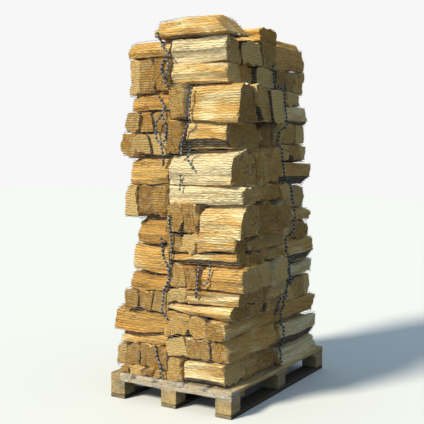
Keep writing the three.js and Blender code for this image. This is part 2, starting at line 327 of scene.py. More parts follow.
def splitWoodMaterial():
    # torn fibres along the log, cream sapwood, honey and orange heart, and some logs greyed
    c, g = woodColors, woodGrain
    n = Nodes("splitWood")
    place, tone = n.attribute("logPlace"), n.attribute("tone", "Fac")
    fibre = n.noise(n.stretch(place, g["fibre"]), 1.0, 5, 0.6, 0.15)
    coarse = n.noise(n.stretch(place, g["streak"]), 1.0, 4, 0.6, 0.3)
    patch = n.noise(n.stretch(place, g["patch"]), 1.0, 3, 0.5)
    streaks = n.ramp(coarse, [(0.30, c["honey"]), (0.45, c["cream"]), (0.60, c["pale"]), (0.78, c["cream"])])
    greyed = n.noise(n.stretch(place, g["grey"], (3, 1, 2)), 1.0, 4)
    grey = n.steps(n.math("SUBTRACT", greyed, tone), 0.25, 0.55, 0, 0.6)
    streaks = n.blend(grey, streaks, c["greyed"])
    warm = n.steps(n.math("ADD", patch, n.math("MULTIPLY", tone, 0.45)), 0.57, 0.78, 0, 0.92)
    heart = n.ramp(coarse, [(0.30, c["orange"]), (0.52, c["honey"]), (0.78, c["amber"])])
    color = n.blend(warm, streaks, heart)
    # the warmest logs, most of them in the front left column, are made darker
    warmDarkening = n.steps(tone, 0.6, 1.3, 0.0, 0.62)
    color = n.blend(warmDarkening, color, n.blend(1.0, color, c["warmDarkSplit"], "MULTIPLY"))
    lines = n.steps(fibre, 0.30, 0.46, 0.6, 0.0)
    color = n.blend(lines, color, c["honey"])
    dirt = n.steps(n.noise(n.stretch(place, g["dirt"]), 1.0, 5, 0.7), 0.60, 0.82, 0, 0.55)
    color = n.blend(dirt, color, c["brown"])
    # long drying cracks
    veins = n.noise(n.stretch(place, g["crack"], (5, 2, 7)), 1.0, 3, 0.55, 0.2)
    crack = n.steps(n.math("ABSOLUTE", n.math("SUBTRACT", veins, 0.5)), 0.0, 0.012, 0.85, 0.0)
    cracked = n.steps(n.noise(n.stretch(place, g["crackPatch"], (9, 4, 1)), 1.0, 3), 0.48, 0.60)
    crack = n.math("MULTIPLY", crack, cracked)
    color = n.blend(crack, color, c["crack"])
    n.link(color, n.shader.inputs["Base Color"])
    n.shader.inputs["Roughness"].default_value = 0.78
    n.shader.inputs["Specular IOR Level"].default_value = 0.25
    raised = n.math("ADD", n.math("MULTIPLY", fibre, 0.7), coarse)
    n.bump(n.math("SUBTRACT", raised, n.math("MULTIPLY", crack, 0.5)), 1.0, g["splitBump"])
    return n.material


def sawnEndMaterial():
    # growth rings about the pith, drying cracks across them, and a dark rim where there is bark
    c, g = woodColors, woodGrain
    n = Nodes("sawnEnd")
    place, tone = n.attribute("logPlace"), n.attribute("tone", "Fac")
    _, y, z = n.parts(place)
    flat = n.joined(0.0, y, z)
    wander = n.noise(flat, 22, 3)
    radius = n.math("ADD", n.distance(flat), n.math("MULTIPLY", wander, g["ringWander"]))
    wave = n.math("SINE", n.math("MULTIPLY", radius, g["ringWave"]))
    rings = n.steps(n.math("ADD", wave, n.math("MULTIPLY", n.noise(flat, 90, 3), 1.2)), -1.0, 2.0)
    older = n.math("ADD", n.noise(place, 14, 3), n.math("MULTIPLY", tone, 0.8))
    base = n.blend(n.steps(older, 0.55, 1.15), c["endPale"], c["endTan"])
    heart = n.steps(n.math("ADD", radius, n.math("MULTIPLY", tone, 0.05)), 0.035, 0.085, 0.6, 0.0)
    color = n.blend(heart, base, c["orange"])
    color = n.blend(n.math("MULTIPLY", rings, 0.34), color, c["endDark"])
    angle = n.math("ARCTAN2", y, z)
    around = n.joined(n.math("MULTIPLY", angle, 5.0), n.math("MULTIPLY", radius, 7.0), 0.0)
    rays = n.noise(around, 1.0, 2, 0.5)
    crack = n.steps(n.math("ABSOLUTE", n.math("SUBTRACT", rays, 0.5)), 0.0, 0.022, 0.85, 0.0)
    color = n.blend(crack, color, c["crack"])
    # the warmest ends, most of them in the front left column, are made darker
    warmDarkening = n.steps(tone, 0.6, 1.3, 0.0, 0.6)
    color = n.blend(warmDarkening, color, n.blend(1.0, color, c["warmDarkEnd"], "MULTIPLY"))
    stain = n.steps(n.noise(place, 34, 5, 0.72), 0.50, 0.70, 0.0, 0.6)
    color = n.blend(stain, color, c["endDark"])
    grey = n.steps(n.noise(n.stretch(place, (1, 1, 1), (4, 0, 0)), 17, 4, 0.6), 0.52, 0.68, 0.0, 0.30)
    color = n.blend(grey, color, c["greyed"])
    edge = n.attribute("barkEdge", "Fac")
    color = n.blend(n.steps(edge, 0.15, 0.45, 0, 0.7), color, c["endDark"])
    color = n.blend(n.steps(edge, 0.72, 0.84), color, c["bark"])
    # no two ends have darkened or bleached alike
    shade = n.steps(n.math("FRACT", n.math("MULTIPLY", tone, g["endShades"])), 0.2, 1.0, 0.0, 0.7)
    color = n.blend(shade, color, n.blend(1.0, color, c["shade"], "MULTIPLY"))
    bleached = n.steps(n.math("FRACT", n.math("MULTIPLY", tone, g["endBleaches"])), 0.5, 0.9, 0.0, 0.75)
    color = n.blend(bleached, color, n.blend(rings, c["cream"], c["endPale"]))
    n.link(color, n.shader.inputs["Base Color"])
    n.shader.inputs["Roughness"].default_value = 0.85
    n.shader.inputs["Specular IOR Level"].default_value = 0.2
    saw = n.noise(n.stretch(place, g["saw"]), 1.0, 2)
    raised = n.math("ADD", n.math("MULTIPLY", rings, 0.3), saw)
    n.bump(n.math("SUBTRACT", raised, crack), 0.7, g["endBump"])
    return n.material


def barkMaterial():
    c, g = woodColors, woodGrain
    n = Nodes("bark")
    place, tone = n.attribute("logPlace"), n.attribute("tone", "Fac")
    furrow = n.cells(n.stretch(place, g["bark"]), 1.0, "DISTANCE_TO_EDGE")
    rough = n.noise(n.stretch(place, g["barkRough"]), 1.0, 6, 0.65)
    color = n.ramp(n.math("ADD", n.math("MULTIPLY", furrow, 0.6), n.math("MULTIPLY", rough, 0.6)),
                   [(0.25, c["brown"]), (0.34, c["bark"]), (0.62, c["barkPale"])])
    grown = n.steps(n.math("ADD", n.noise(place, 9, 4), n.math("MULTIPLY", tone, 0.2)), 0.62, 0.80, 0, 0.7)
    color = n.blend(grown, color, c["lichen"])
    n.link(color, n.shader.inputs["Base Color"])
    n.shader.inputs["Roughness"].default_value = 0.92
    n.shader.inputs["Specular IOR Level"].default_value = 0.15
    plates = n.math("MINIMUM", n.math("MULTIPLY", furrow, 3.0), 0.6)
    n.bump(n.math("ADD", plates, n.math("MULTIPLY", rough, 0.7)), 1.0, g["barkBump"])
    return n.material


palletColors = {
    "new": (0.42, 0.29, 0.115),
    "grey": (0.235, 0.20, 0.14),
    "dark": (0.12, 0.095, 0.07),
    "paintedRunnerShade": (0.045, 0.036, 0.027),
    "pale": (0.46, 0.35, 0.19),
}

palletGrain = {
    # waves to the metre along the board and the two ways across it
    "grain": (3, 75, 75), "fine": (20, 420, 420), "weather": (3, 12, 12), "dirt": (9, 22, 22),
    "bump": 0.002,
}


def palletWoodMaterial():
    # sawn softwood that has greyed outdoors, with painted shade on the runners under the deck
    c, g = palletColors, palletGrain
    n = Nodes("palletWood")
    place, tone = n.attribute("logPlace"), n.attribute("tone", "Fac")
    grain = n.noise(n.stretch(place, g["grain"]), 1.0, 5, 0.6, 0.6)
    fine = n.noise(n.stretch(place, g["fine"]), 1.0, 3, 0.6)
    color = n.ramp(grain, [(0.30, c["dark"]), (0.44, c["new"]), (0.62, c["pale"])])
    worn = n.math("ADD", n.noise(n.stretch(place, g["weather"]), 1.0, 4), n.math("MULTIPLY", tone, 0.35))
    weather = n.steps(worn, 0.50, 0.80, 0.1, 0.85)
    color = n.blend(weather, color, n.ramp(grain, [(0.30, c["dark"]), (0.6, c["grey"])]))
    dirt = n.steps(n.noise(n.stretch(place, g["dirt"]), 1.0, 5, 0.7), 0.56, 0.76, 0, 0.6)
    color = n.blend(dirt, color, c["dark"])
    # painted shade: the runners, on the ground under the deck, are painted much darker, as they look in the
    # deck's shade
    runnerShadeShare = n.steps(tone, 1.0, 2.0)  # the boards on the ground are darker
    color = n.blend(n.math("MULTIPLY", runnerShadeShare, 0.9), color, c["paintedRunnerShade"])
    n.link(color, n.shader.inputs["Base Color"])
    n.shader.inputs["Roughness"].default_value = 0.86
    n.shader.inputs["Specular IOR Level"].default_value = 0.2
    n.bump(n.math("ADD", grain, n.math("MULTIPLY", fine, 0.5)), 0.6, g["bump"])
    return n.material


# How fine the flecks of each part of the net are, and its dark, middle and pale colours. On the threads
# (netYarn) the dark and middle colours are painted shade on a pale net, and the pale flecks are partly the
# net's own colour and partly painted glints
netColors = {
    "netYarn": (45, (0.045, 0.058, 0.075), (0.13, 0.15, 0.17), (0.52, 0.52, 0.53)),
    "paleYarn": (120, (0.10, 0.13, 0.17), (0.30, 0.33, 0.36), (0.60, 0.61, 0.62)),
    "netKnot": (160, (0.018, 0.028, 0.045), (0.035, 0.05, 0.075), (0.10, 0.13, 0.16)),
}

nailColors = {"rust": (0.10, 0.05, 0.03), "steel": (0.22, 0.20, 0.19)}

filmLook = {"color": (0.78, 0.80, 0.82), "clearest": 0.05, "cloudiest": 0.45, "crease": (30, 90, 90)}


def netMaterial(name):
    scale, dark, middle, pale = netColors[name]
    n = Nodes(name)
    fleckShadeAndGlint = n.noise(n.attribute("logPlace"), scale, 3)
    # on netYarn this ramp paints shade and glints along the thread: its dark and middle colours are painted
    # shade, its pale flecks partly the net's own colour and partly painted glints
    n.link(n.ramp(fleckShadeAndGlint, [(0.36, dark), (0.55, middle), (0.70, pale)]), n.shader.inputs["Base Color"])
    n.shader.inputs["Roughness"].default_value = 0.45
    n.bump(fleckShadeAndGlint, 0.4, 0.0006)
    return n.material


def nailMaterial():
    n = Nodes("nailSteel")
    spot = n.noise(n.attribute("logPlace"), 300, 4)
    color = n.ramp(spot, [(0.4, nailColors["rust"]), (0.65, nailColors["steel"])])
    n.link(color, n.shader.inputs["Base Color"])
    n.link(n.steps(spot, 0.3, 0.7, 0.8, 0.45), n.shader.inputs["Roughness"])
    n.shader.inputs["Metallic"].default_value = 0.7
    return n.material


def filmMaterial():
    n = Nodes("stretchFilm")
    crease = n.noise(n.stretch(n.attribute("logPlace"), filmLook["crease"]), 1.0, 5, 0.6, 1.2)
    n.shader.inputs["Base Color"].default_value = (*filmLook["color"], 1)
    n.shader.inputs["Roughness"].default_value = 0.18
    cloud = n.steps(crease, 0.45, 0.72, filmLook["clearest"], filmLook["cloudiest"])
    n.link(cloud, n.shader.inputs["Alpha"])
    n.bump(crease, 0.9, 0.004)
    return n.material


splitWood = splitWoodMaterial()
sawnEnd = sawnEndMaterial()
bark = barkMaterial()
palletWood = palletWoodMaterial()
netYarn = netMaterial("netYarn")
paleYarn = netMaterial("paleYarn")
netKnot = netMaterial("netKnot")
nailSteel = nailMaterial()
stretchFilm = filmMaterial()
woodMaterials = [splitWood, sawnEnd, bark]
splitFace, endFace, barkFace = 0, 1, 2  # their places in that list
print("materials made")


# Sections of split logs in a unit square, anticlockwise from the left: the points, which of the
# edges that start at them carry bark, and where the middle of the tree was. The first five have a
# plain split face on the left, which is turned to the outside of the stack.
logSections = [
    ([(.09, .02), (.97, 0), (.95, .96), (.45, 1), (.13, .94), (0, .5)], [], (.5, -.5)),  # squared
    ([(.05, .02), (1, 0), (.97, .8), (.6, 1), (.12, .76), (0, .4)], [1, 2], (.1, .1)),  # sloping above
    ([(0, .42), (.3, .02), (1, 0), (.96, .92), (.5, 1), (.05, .94)], [0], (.8, 1.1)),  # sloping below
    ([(0, .03), (1, 0), (.98, .62), (.78, .93), (.3, 1), (.03, .95)], [1, 2, 3], (.03, .03)),
    ([(.04, .03), (1, 0), (.93, .76), (.55, 1), (.1, .78), (0, .35)], [1], (.45, .1)),  # gable
    ([(0, .94), (.01, .24), (.15, .04), (.78, 0), (.99, .18), (1, .95), (.5, 1)],
     [0, 1, 2, 3, 4], (.5, .95)),
    ([(0, .03), (1, 0), (.99, .74), (.85, .95), (.32, 1), (.01, .8)], [1, 2, 3, 4], (.5, .05)),
    ([(0, .4), (.09, .05), (.6, 0), (.97, .12), (1, .78), (.86, .98), (.15, .97)],
     [0, 1, 2, 3, 4, 5, 6], (.5, .5)),  # round
    ([(0, .95), (.05, .18), (.45, 0), (.94, .15), (1, .95), (.5, 1)], [4, 5], (.5, .1)),  # pointed below
]

logShape = {
    "bareSections": 5,
    "bareShare": 0.85,
    "barkBelow": 0.42,  # of the height of an outer log, where its bark ends
    "uneven": 0.06,  # how far a section's points may move, as a share of its box
    "taper": 0.045,  # how far a log's sides draw in at its ends, in widths
    "endDrop": 0.1,  # how far its top drops towards its first end, in heights
    "cutWander": 0.34, "cutLean": 0.42,  # how far the walls between logs stray and lean, in widths
    "endSetBack": 26, "sideSetBack": 24,  # how far an outer end or side may stand back, in mm
    "tiltX": 0.068, "tiltY": 0.03,  # how far the beds between courses slope
    "bedMiddle": (190, 285),  # a bed has its stated height this far from the middle of the stack
    "splitShare": (0.16, 0.13),  # of a mixed course its first logs take this, and this for each
    "courseStep": 31.7, "kindStep": 20, "logStep": 1.37,  # between shape numbers
    "noiseSeeds": 10,  # to each shape number
}

# What is added to a shape number for each thing that chance settles about a course or a log
draw = {
    "bare": 0.15, "mirrored": 0.3, "slopeX": 0.21, "slopeY": 0.77, "endBack": 0.6, "lowBack": 0.8,
    "highBack": 0.87, "tone": 0.9, "left": 1.1, "grain": 2.2, "right": 3.1, "drop": 5.1,
    "bowSide": 6.1, "bowUp": 6.7, "twist": 7.3, "slant": 8.1, "tilt": 9.1,
    "pointX": 10.3, "pointY": 14.3, "point": 0.37, "wander": 7.7, "leanStep": 5.3, "lean": 0.4,
}

logDetail = {
    "step": 0.0085,  # along the section's outline
    "rings": 19,  # along the log
    "tear": 0.0125,  # depth of the torn steps on split faces
    "fibre": 0.003,
    "bark": 0.0045,
    "chip": 0.012,  # how much may be broken off round an end
    "bow": 0.022, "twist": 0.09,
    "slant": 0.22, "tilt": 0.18,  # how far an end may be sawn askew, sideways and upwards
    "askewFrom": 0.6,  # a log's rings stay square to it for this share of the way to its end
    "press": 0.011,  # how far logs side by side press into each other
    "grainSpread": 3.7,  # how far apart logs are put in the grain, in metres
}

# Waves of the rough surface: how many to the metre round the log, how the two ways round lean on
# each other, how they drift along the log, where they start, and a step in the seed
woodWaves = {
    "wavy": {"size": 24, "skew": (9, -9), "drift": (0, 1.6), "start": (40, 7), "step": 0},
    "torn": {"size": 46, "skew": (0, 0), "drift": (0, 2.4), "start": (11, 31), "step": 1},
    "fine": {"size": 170, "skew": (60, 0), "drift": (0, 7), "start": (0, 3), "step": 2},
    "lumpy": {"size": 60, "skew": (0, 0), "drift": (30, -22), "start": (0, 0), "step": 3},
    "broken": {"size": 30, "skew": (0, 0), "drift": (0, 1), "start": (5, 0), "step": 4},
    "splinter": {"size": 90, "skew": (0, 0), "drift": (0, 1), "start": (0, 0), "step": 5},
    "swell": {"size": 13, "skew": (0, 0), "drift": (6, -7), "start": (0, 2), "step": 6},
    "ridge": {"size": 17, "skew": (0, 0), "drift": (3, -4), "start": (8, 0), "step": 9},
}

# What each wave adds to a split face, in tears
splitMix = {
    "wavy": 0.5, "swell": 0.6, "ridge": 0.7, "torn": 0.7,
    "tornSteps": 1.6,  # how finely the torn wave is cut into steps
    "underBark": 0.25,  # how much of the wavy one shows through bark
}

logEnd = {
    "edgeRing": 0.007,  # how near to each end the next ring lies, in metres
    "edgeWear": 0.0012, "chipFrom": 0.15,  # chips start where the waves pass this
    "capRings": (0.975, 0.93, 0.62, 0.3),
    "rimBark": 0.45,  # how dark the rim is where it has no bark
    "rimProud": 0.0015, "proud": 0.002,  # how far the sawn face stands out
    "sawWave": 35, "sawRough": 0.0012, "sawStep": 7,
}


def denseOutline(points, barkEdges, wide, high, step):
    # the outline in metres, with bark stretches rounded: places, and how much each point is bark
    corners = np.array(points, float) * (wide, high)
    count = len(corners)
    places, barky = [], []
    for i in range(count):
        a, b = corners[i], corners[(i + 1) % count]
        before, after = corners[i - 1], corners[(i + 2) % count]
        isBark = i in barkEdges
        cuts = max(2, round(np.linalg.norm(b - a) / step))
        for k in range(cuts):
            t = k / cuts
            if isBark:
                # a curve through the corners
                inward = (b - before) / 2 if (i - 1) % count in barkEdges else (b - a)
                outward = (after - a) / 2 if (i + 1) % count in barkEdges else (b - a)
                p = ((2 * t**3 - 3 * t**2 + 1) * a + (t**3 - 2 * t**2 + t) * inward
                     + (3 * t**2 - 2 * t**3) * b + (t**3 - t**2) * outward)
            else:
                p = mix(a, b, t)
            places.append(p)
            inside = isBark and (k > 0 or (i - 1) % count in barkEdges)
            barky.append(1.0 if inside or (k == 0 and isBark) else 0.0)
    return np.array(places), np.array(barky)


def wave(name, cx, cy, run, seed):
    # one wave of the surface at places on a circle round the log, at run along it
    w = woodWaves[name]
    u = cx * w["size"] + cy * w["skew"][0] + run * w["drift"][0] + w["start"][0]
    v = cy * w["size"] + cx * w["skew"][1] + run * w["drift"][1] + w["start"][1]
    return noise2(u, v, seed + w["step"])


def roughness(cx, cy, run, seed, barky, rough):
    # how far each point of a ring stands out: torn steps and fibres on split faces, lumps on bark
    mixed = splitMix
    wavy = wave("wavy", cx, cy, run, seed)
    torn = np.round(wave("torn", cx, cy, run, seed) * mixed["tornSteps"])
    swell = wave("swell", cx, cy, run, seed)
    ridge = 0.5 - np.abs(wave("ridge", cx, cy, run, seed))
    split = rough["tear"] * (mixed["wavy"] * wavy + mixed["swell"] * swell + mixed["ridge"] * ridge
                             + mixed["torn"] * torn / mixed["tornSteps"])
    split = split + rough["fibre"] * wave("fine", cx, cy, run, seed)
    rind = rough["bark"] * wave("lumpy", cx, cy, run, seed) + mixed["underBark"] * rough["tear"] * wavy
    out = np.where(barky > 0.5, rind, split)
    return (np.roll(out, 1) + 2 * out + np.roll(out, -1)) / 4


def sweptWood(outline, barky, pith, along, place, rings, rough, seed, tone):
    # sweeps an outline (metres, n by 2) between the two ends in along. place(t, points, proud) puts
    # a section's points at t in the world as (n, 3), and proud moves them out along the log
    n = len(outline)
    centre = outline.mean(0)
    tangent = np.roll(outline, -1, 0) - np.roll(outline, 1, 0)
    tangent /= np.linalg.norm(tangent, axis=1)[:, None] + 1e-9
    normal = np.stack([tangent[:, 1], -tangent[:, 0]], 1)
    run = np.concatenate([[0], np.cumsum(np.linalg.norm(np.diff(outline, axis=0), axis=1))])
    total = run[-1] + np.linalg.norm(outline[0] - outline[-1])
    turn = run / total * 2 * math.pi
    # noise is read on a circle, so that it meets itself at the seam
    cx, cy = np.cos(turn) * total / (2 * math.pi), np.sin(turn) * total / (2 * math.pi)
    length = along[1] - along[0]
    # a ring close to each end keeps the broken edge short
    near = min(0.2, logEnd["edgeRing"] / length)
    spots = [0, near, *np.linspace(2 * near, 1 - 2 * near, rings - 4), 1 - near, 1]
    sections, world, grain, edge = [], [], [], []
    for j, t in enumerate(spots):
        points = outline + normal * roughness(cx, cy, t * length, seed, barky, rough)[:, None]
        if j in (0, rings - 1):
            # the number of the ring is the run here, so the two ends break differently
            broken = wave("broken", cx, cy, j, seed) + 0.5 * wave("splinter", cx, cy, j, seed)
            chips = rough["chip"] * np.maximum(0, broken - logEnd["chipFrom"])
            points = points - normal * (logEnd["edgeWear"] + chips)[:, None]
        sections.append(points)
        world.append(place(t, points, 0.0))
        grain.append(np.column_stack([np.full(n, along[0] + t * length), points - pith]))
        edge.append(barky)
    faces, kinds = [], []
    after = [(i + 1) % n for i in range(n)]
    for j in range(rings - 1):
        a, b = j * n, (j + 1) * n
        for i, k in enumerate(after):
            faces.append((a + i, a + k, b + k, b + i))
            kinds.append(barkFace if barky[i] > 0.5 and barky[k] > 0.5 else splitFace)
    count = rings * n
    for end in (0, 1):
        # rings inside rings close each sawn end, with a fan at its middle
        t, rim = float(end), sections[-end]
        lastRow = end * (rings - 1) * n
        for share in logEnd["capRings"]:
            isRim = share == logEnd["capRings"][0]
            points = centre + (rim - centre) * share
            sawn = noise2(*(points.T * logEnd["sawWave"]), seed + logEnd["sawStep"] + end)
            proud = logEnd["sawRough"] * sawn + logEnd["rimProud" if isRim else "proud"]
            world.append(place(t, points, proud if end else -proud))
            grain.append(np.column_stack([np.full(n, along[end]), points - pith]))
            edge.append(np.maximum(barky, logEnd["rimBark"]) if isRim else barky * 0.0)
            for i, k in enumerate(after):
                quad = (lastRow + i, lastRow + k, count + k, count + i)
                faces.append(quad if end else quad[::-1])
            lastRow = count
            count += n
        middle = centre[None]
        world.append(place(t, middle, np.array([logEnd["proud"] if end else -logEnd["proud"]])))
        grain.append(np.column_stack([[along[end]], middle - pith]))
        edge.append(np.zeros(1))
        for i, k in enumerate(after):
            fan = (lastRow + i, lastRow + k, count)
            faces.append(fan if end else fan[::-1])
        count += 1
    kinds += [endFace] * (len(faces) - len(kinds))
    return {
        "verts": np.concatenate(world), "faces": faces, "kinds": kinds,
        "place": np.concatenate(grain), "edge": np.concatenate(edge), "tone": np.full(count, tone),
    }


def gather(name, parts, materials):
    verts, faces, kinds, base = [], [], [], 0
    for part in parts:
        verts.append(part["verts"])
        faces += [tuple(v + base for v in face) for face in part["faces"]]
        kinds += part["kinds"]
        base += len(part["verts"])
    verts = np.concatenate(verts)
    smooth = [kind == barkFace or len(materials) == 1 for kind in kinds]
    piece = newMesh(name, verts.tolist(), faces, materials, kinds, smooth)
    setAttribute(piece, "logPlace", "FLOAT_VECTOR", np.concatenate([p["place"] for p in parts]))
    setAttribute(piece, "barkEdge", "FLOAT", np.concatenate([p["edge"] for p in parts]))
    setAttribute(piece, "tone", "FLOAT", np.concatenate([p["tone"] for p in parts]))
    return piece, verts


# The courses of each column from the deck up: height in mm, then its logs (along = ends to the
# front, across = sides to the front), then how far its outer side, or in back_right its back,
# reaches from the middle, in mm
courses = {
    "front_left": [
        (56, "along4", 365), (130, "along4", 395), (83, "across3", 362), (117, "across3", 385),
        (107, "along3", 335), (105, "across3", 278), (155, "across3", 288), (158, "across3", 262),
        (178, "along3", 326), (157, "across3", 305), (118, "along3", 345), (120, "along3", 330),
        (97, "across4", 272), (193, "along3", 312), (97, "across3", 335),
    ],
    "front_right": [
        (141, "along1across3", 350), (120, "along3", 368), (115, "along3", 360), (65, "across3", 395),
        (80, "along1across3", 417), (135, "along2across3", 450), (60, "across4", 420),
        (108, "along2across3", 415), (166, "along2across3", 455), (101, "across4", 446),
        (179, "across2", 400), (161, "along1across3", 345), (192, "along1across3", 418),
        (115, "across3", 332), (133, "across3", 350),
    ],
    "back_left": [
        (120, "across3", 385), (135, "along3", 378), (110, "across3", 375), (150, "along2", 350),
        (125, "across3", 320), (140, "along3", 300), (100, "across4", 305), (160, "along2", 310),
        (130, "across3", 328), (120, "along3", 332), (145, "across3", 340), (115, "along3", 338),
        (150, "across3", 325), (136, "along2", 318),
    ],
    "back_right": [
        (104, "along2", 540), (128, "along2", 530), (138, "along3", 515), (124, "across3", 480),
        (95, "along2", 545), (145, "along2", 520), (102, "across3", 470), (100, "along3", 480),
        (120, "across3", 415), (150, "along2", 500), (95, "across3", 475), (133, "across3", 435),
        (100, "along3", 455), (80, "across3", 395), (142, "across3", 440), (165, "along2", 462),
    ],
}

stack = {
    "seams": {"front": -28, "back": 8, "left": 36, "right": 14},  # where the columns meet
    "seamHalf": 2,
    "front": (-588, -552),  # at the deck and at the top
    "back": (545, 475),
    "right": (396, 340),
    "bottom": 144, "top": 2020,
    "inTier": 2,
    # how much warmer the wood of each column is, at the deck and at the top
    "warmer": {
        "front_left": (0.5, 0.42), "front_right": (0.12, -0.22),
        "back_left": (0.1, 0.1), "back_right": (0, 0),
    },
    "crownWarmer": 0.12,
    "seeds": {"front_left": 3, "front_right": 1003, "back_left": 2003, "back_right": 3003},
}

# The loose logs on top: which way each lies, how far the top of its second end leans back, in mm,
# and its shape number
crown = {
    "log_top_1": ("across", 120, 41), "log_top_2": ("across", 0, 123), "log_top_3": ("along", 0, 45),
}


def shareUp(z):
    return (z - stack["bottom"]) / (stack["top"] - stack["bottom"])


def leaning(name, z):
    return mix(*stack[name], shareUp(z))


def columnPlan(name, z, reach):
    end, side = name.split("_")
    x = stack["seams"][end] + stack["seamHalf"] * (-1 if side == "left" else 1)
    y = stack["seams"][side] + stack["seamHalf"] * (-1 if end == "front" else 1)
    if name == "back_right":
        return x, leaning("right", z), y, reach
    x0, x1 = (-reach, x) if side == "left" else (x, reach)
    y0, y1 = (leaning("front", z), y) if end == "front" else (y, leaning("back", z))
    return x0, x1, y0, y1


def unevenPoints(points, seed):
    move = logShape["uneven"]
    moved = []
    for i, (u, v) in enumerate(points):
        u = u + move * (2 * chance(seed + draw["pointX"] + draw["point"] * i) - 1)
        v = v + move * (2 * chance(seed + draw["pointY"] + draw["point"] * i) - 1)
        moved.append((min(1, max(0, u)), min(1, max(0, v))))
    return moved


def makeLog(cell, lie, outward, seed):
    # bends a section to fill the log's cell, which gives the log's ends, where its walls stand at
    # its underside and its top, and the beds under and over it, all in millimetres
    isBare = outward != 0 and chance(seed + draw["bare"]) < logShape["bareShare"]
    choice = int(chance(seed) * (logShape["bareSections"] if isBare else len(logSections)))
    points, barkEdges, pithUnit = logSections[choice]
    if outward != 0 and not isBare:
        # an outer log has lost the bark of its upper part
        nextPoints = points[1:] + points[:1]
        barkEdges = [e for e in barkEdges if points[e][1] + nextPoints[e][1] < logShape["barkBelow"] * 2]
    points = unevenPoints(points, seed)
    mirrored = chance(seed + draw["mirrored"]) < 0.5 if outward == 0 else outward > 0
    low, high, ends = (np.array(cell[key]) / 1000 for key in ("low", "high", "ends"))
    wide = (low[1] - low[0] + high[1] - high[0]) / 2
    tall = cell["thickness"] / 1000
    outline, barky = denseOutline(points, barkEdges, wide, tall, logDetail["step"])
    pith = np.array(pithUnit) * (wide, tall)
    if mirrored:
        outline = outline[::-1] * (-1, 1) + (wide, 0)
        barky = barky[::-1]
        pith = np.array((wide - pith[0], pith[1]))
    left = [logShape["taper"] * chance(seed + draw["left"] + end) for end in (0, 1)]
    right = [logShape["taper"] * chance(seed + draw["right"] + end) for end in (0, 1)]
    drop = [logShape["endDrop"] * chance(seed + draw["drop"]), 0]
    bowSide, bowUp = (logDetail["bow"] * (chance(seed + draw[way]) - 0.5) for way in ("bowSide", "bowUp"))
    twist = logDetail["twist"] * (2 * chance(seed + draw["twist"]) - 1)
    slant = [(chance(seed + draw["slant"] + end) - 0.5) * logDetail["slant"] for end in (0, 1)]
    tilt = [(chance(seed + draw["tilt"] + end) - 0.5) * logDetail["tilt"] for end in (0, 1)]

    def place(t, local, proud):
        end = round(t)
        u, v = local[:, 0] / wide, local[:, 1] / tall
        u = mix(mix(*left, t), 1 - mix(*right, t), u)
        across = mix(mix(*low, u), mix(*high, u), v) + bowSide * math.sin(math.pi * t)
        across = across + twist * (t - 0.5) * (v - 0.5) * tall
        away = max(0, abs(2 * t - 1) - logDetail["askewFrom"]) / (1 - logDetail["askewFrom"])
        askew = (slant[end] * (u - 0.5) * wide + tilt[end] * (v - 0.5) * tall) * away
        run = mix(*ends, t) + askew + proud - cell["endLean"] / 1000 * v * t
        x, y = (across, -run) if lie == "along" else (run, across)
        bottom, top = (cell[bound](x * 1000, y * 1000) / 1000 for bound in ("bottom", "top"))
        up = mix(bottom, top, v * (1 - mix(*drop, t))) + bowUp * math.sin(math.pi * t)
        up = up - twist * (t - 0.5) * (u - 0.5) * wide
        return np.column_stack([x, y, up])

    tone = chance(seed + draw["tone"]) + cell["warmer"]
    part = sweptWood(outline, barky, pith, ends, place, logDetail["rings"], logDetail,
                     int(seed * logShape["noiseSeeds"]), tone)
    part["place"] = part["place"] + (logDetail["grainSpread"] * chance(seed + draw["grain"]), 0, 0)
    if cell["endLean"] > 0:
        # an end that leans this far was torn off, not sawn
        endFaces = len(outline) * (len(logEnd["capRings"]) + 1)
        part["kinds"][-endFaces:] = [splitFace] * endFaces
    return part


def drawIn(a0, a1, back):
    return (a0 + back, a1) if abs(a0) > abs(a1) else (a0, a1 - back)


def facing(name, lie, i, count):
    # which side of a log faces out of the stack: -1 is its first side, 1 its second, 0 neither
    outerIsFirst = name.endswith("left") if lie == "along" else name.startswith("front")
    if outerIsFirst:
        return -1 if i == 0 else 0
    return 1 if i == count - 1 else 0


def bed(name, height, course, last):
    # the bed over a course, as a height for each place; the deck's and the last one are level
    n = stack["seeds"][name] + course * logShape["courseStep"]
    flat = course < 0 or course == last
    slopeX = 0 if flat else logShape["tiltX"] * (2 * chance(n + draw["slopeX"]) - 1)
    slopeY = 0 if flat else logShape["tiltY"] * (2 * chance(n + draw["slopeY"]) - 1)
    middleX = logShape["bedMiddle"][0] * (-1 if name.endswith("left") else 1)
    middleY = logShape["bedMiddle"][1] * (-1 if name.startswith("front") else 1)
    return lambda x, y: height + slopeX * (x - middleX) + slopeY * (y - middleY)


def wallsOf(count, seed):
    # where the walls between logs stand, from 0 to 1, at the underside and the top of a course
    low, high = [0], [0]
    for i in range(1, count):
        wander = logShape["cutWander"] * (chance(seed + i * draw["wander"]) - 0.5)
        lean = logShape["cutLean"] * (chance(seed + i * draw["leanStep"] + draw["lean"]) - 0.5)
        low.append((i + wander - lean) / count)
        high.append((i + wander + lean) / count)
    return low + [1], high + [1]


def wallAt(sides, shares, i, outward, share):
    # the two walls of a log at one height, in mm: pressed into its neighbours, or set back where it
    # faces out
    press = logDetail["press"] * 1000
    back = logShape["sideSetBack"] * share
    return [mix(*sides, shares[i]) + (back if outward < 0 else -press),
            mix(*sides, shares[i + 1]) + (-back if outward > 0 else press)]


